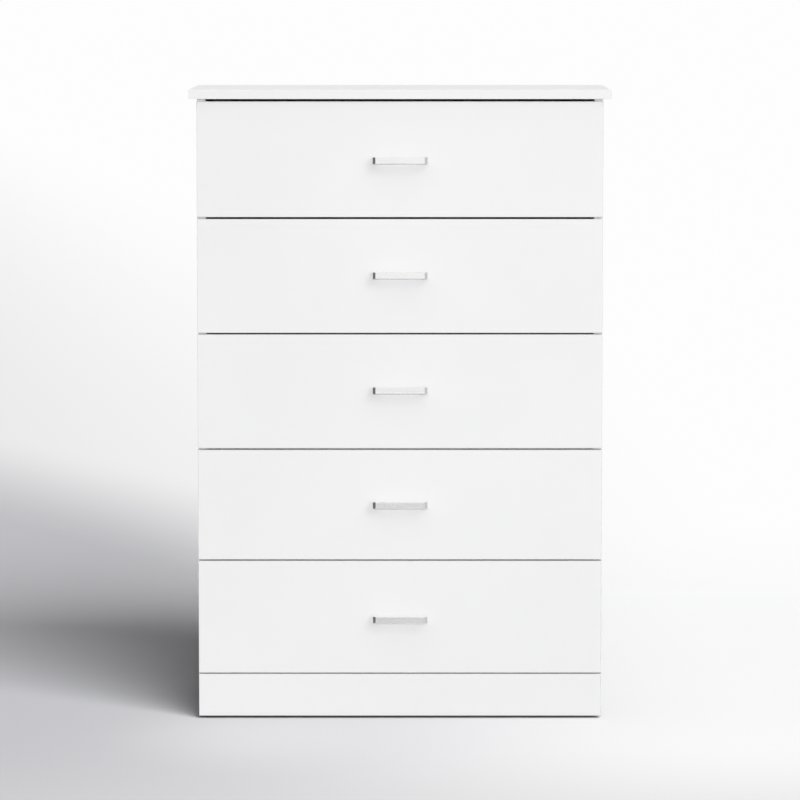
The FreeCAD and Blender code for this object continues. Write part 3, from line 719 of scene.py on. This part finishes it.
def floorPaint(tree, where, x, y, s):
    # Grays of the floor, with painted light and shade: painted shade makes it darker on the left, a paler
    # pool before the left foot is painted light, and towards the viewer the painted shade evens out to one
    # gray, which the lower pulls reflect. What it throws back on the chest is one gray everywhere.
    # Painted shade: darker towards the left, as if the light fell off.
    side = spread(tree, x, s["leftEdge"], s["rightEdge"], 0.0, 1.0)
    painted = mixColor(tree, side, s["left"], s["right"])
    # Painted light: a paler pool before the left foot.
    fromPool = vector2(tree, "DIVIDE", vector2(tree, "SUBTRACT", where, s["poolMiddle"]), s["poolReach"])
    away = addNode(tree, "ShaderNodeVectorMath", operation="LENGTH")
    feed(tree, fromPool, away.inputs[0])
    pool = spread(tree, away.outputs["Value"], 0.0, 1.0, s["poolShare"], 0.0)
    painted = mixColor(tree, pool, painted, gray(s["pool"]))
    # Painted shade evened out to one gray towards the viewer, which the lower pulls also reflect.
    near = spread(tree, y, s["nearTo"], s["nearFrom"], 1.0, 0.0)
    painted = mixColor(tree, near, painted, gray(s["near"]))
    path = addNode(tree, "ShaderNodeLightPath")
    return mixColor(tree, path.outputs["Is Diffuse Ray"], painted, gray(s["bounce"]))


def makeFloor(s):
    # The floor is gray under a strong light of its own. Behind a line that slants back to the left, far in
    # front and far to the left, it turns into the glowing white of the backdrop. Behind and to the left
    # that glow starts as a gray of painted shade, which brightens with distance along a steeper slant.
    material, tree, shader, where = startMaterial("floor")
    x, y = splitAxes(tree, where)[:2]
    feed(tree, floorPaint(tree, where, x, y, s), shader.inputs["Base Color"])
    shader.inputs["Roughness"].default_value = s["rough"]
    shader.inputs["Specular IOR Level"].default_value = 0.0
    leftwards = math2(tree, "MINIMUM", x, 0.0)
    behind = math2(tree, "ADD", y, math2(tree, "MULTIPLY", leftwards, s["slant"]))
    far = math2(tree, "ADD", y, math2(tree, "MULTIPLY", leftwards, s["farSlant"]))
    ahead = spread(tree, y, s["aheadTo"], s["aheadFrom"], 1.0, 0.0)
    wide = spread(tree, x, s["wideTo"], s["wideFrom"], 1.0, 0.0)
    plain = math2(tree, "MAXIMUM", ahead, wide)
    clear = math2(tree, "MAXIMUM", spread(tree, behind, s["clearFrom"], s["clearTo"], 0.0, 1.0), plain)
    # Painted shade: the glow is gray behind and to the left and turns white with distance.
    distant = spread(tree, far, s["farFrom"], s["farTo"], s["far"], shownWhite)
    beside = math2(tree, "MAXIMUM", spread(tree, x, s["sideFrom"], s["sideTo"], 0.0, 1.0), plain)
    glow = addNode(tree, "ShaderNodeEmission")
    feed(tree, mixColor(tree, beside, distant, gray(shownWhite)), glow.inputs["Color"])
    mix = addNode(tree, "ShaderNodeMixShader")
    feed(tree, math2(tree, "MULTIPLY", seenRay(tree), clear), mix.inputs[0])
    feed(tree, shader.outputs[0], mix.inputs[1])
    feed(tree, glow.outputs[0], mix.inputs[2])
    feed(tree, mix.outputs[0], tree.nodes["Material Output"].inputs["Surface"])
    half = s["size"] / 2
    corners = [(-half, -half, 0), (half, -half, 0), (half, half, 0), (-half, half, 0)]
    return addStage("floor", corners, [(0, 1, 2, 3)], material)


# Painted reflections: glowing cards that only shiny surfaces see, a dark one that darkens the left end of
# each pull and a gray one at the right.
cards = [   # tone, and the directions from the chest that it covers, in degrees to the right
    {"name": "dark_reflection_card", "tone": 0.15, "from": -80.0, "to": -7.0},
    {"name": "gray_reflection_card", "tone": 0.60, "from": 8.0, "to": 90.0},
]
cardPlace = {"distance": 0.9, "height": 3.0, "steps": 40}


def makeCard(c, p):
    # An upright piece of a round wall about the chest that glows at its tone and which only shiny surfaces
    # see, a painted reflection: distance times (sin a, -cos a), once at the foot and once at the top.
    material, tree = startMaterial(c["name"])[:2]
    glow = addNode(tree, "ShaderNodeEmission")
    glow.inputs["Color"].default_value = gray(c["tone"])
    feed(tree, glow.outputs[0], tree.nodes["Material Output"].inputs["Surface"])
    angle = np.radians(np.linspace(c["from"], c["to"], p["steps"]))
    foot = np.stack([p["distance"] * np.sin(angle), -p["distance"] * np.cos(angle), 0 * angle], axis=-1)
    points = np.concatenate([foot, foot + (0, 0, p["height"])]).tolist()
    n = p["steps"]
    obj = addStage(c["name"], points, [(i, i + 1, n + i + 1, n + i) for i in range(n - 1)], material)
    obj.visible_camera = False
    obj.visible_diffuse = False
    obj.visible_transmission = False
    obj.visible_shadow = False


dome = {"brightest": (0, 0, 1), "bright": 1.085, "dim": 0.211, "dimFrom": 0.2}


def makeWorld(s):
    # A dome of light, brightest straight above and dim near the horizon. Seen straight or in a
    # reflection it is plain white.
    world = bpy.data.worlds.new("studio")
    bpy.context.scene.world = world
    world.use_nodes = True
    tree = world.node_tree
    towards = addNode(tree, "ShaderNodeVectorMath", operation="DOT_PRODUCT")
    feed(tree, addNode(tree, "ShaderNodeTexCoord").outputs["Generated"], towards.inputs[0])
    feed(tree, s["brightest"], towards.inputs[1])
    light = spread(tree, towards.outputs["Value"], s["dimFrom"], 1.0, s["dim"], s["bright"])
    level = addNode(tree, "ShaderNodeMix", data_type="FLOAT")
    feed(tree, seenRay(tree), level.inputs[0])
    feed(tree, light, level.inputs[2])
    feed(tree, shownWhite, level.inputs[3])
    sky = tree.nodes["Background"]
    sky.inputs["Color"].default_value = gray(1.0)
    feed(tree, level.outputs[0], sky.inputs["Strength"])


keyLamp = {"azimuth": 27.0, "elevation": 27.5, "width": 34.0, "level": 0.18}
floorLamp = {"azimuth": 27.0, "elevation": 27.5, "width": 50.0, "level": 7.3}
fillLamp = {"place": (0.0, -8.2, 1.59), "radius": 0.14, "power": 1270.0}


def addLamp(name, kind):
    data = bpy.data.lights.new(name, kind)
    lamp = bpy.data.objects.new(name, data)
    bpy.context.scene.collection.objects.link(lamp)
    lamp.visible_glossy = False
    return data, lamp


def direction(azimuth, elevation):
    # Azimuth is measured from the front to the right, elevation from level upwards.
    a, e = math.radians(azimuth), math.radians(elevation)
    return Vector((math.sin(a) * math.cos(e), -math.cos(a) * math.cos(e), math.sin(e)))


def makeSunLamp(name, s):
    # A distant soft lamp: a white surface that faces it renders at its level.
    data, lamp = addLamp(name, "SUN")
    data.angle = math.radians(s["width"])
    data.energy = s["level"] * math.pi
    lamp.rotation_mode = "QUATERNION"
    lamp.rotation_quaternion = direction(s["azimuth"], s["elevation"]).to_track_quat("Z", "Y")
    return lamp


def makeFill(s):
    # A small lamp so far in front that what it shades lies behind the pulls.
    data, lamp = addLamp("fill", "POINT")
    data.energy = s["power"]
    data.shadow_soft_size = s["radius"]
    lamp.location = s["place"]


def lightOnly(lamp, obj):
    receivers = bpy.data.collections.new(lamp.name + "_only")
    receivers.objects.link(obj)
    lamp.light_linking.receiver_collection = receivers


studioFloor = makeFloor(floorLook)
for card in cards:
    makeCard(card, cardPlace)
makeWorld(dome)
makeFill(fillLamp)
makeSunLamp("key", keyLamp)
lightOnly(makeSunLamp("floor_key", floorLamp), studioFloor)
bpy.context.scene.view_settings.view_transform = "Standard"
print("stage: floor and light")
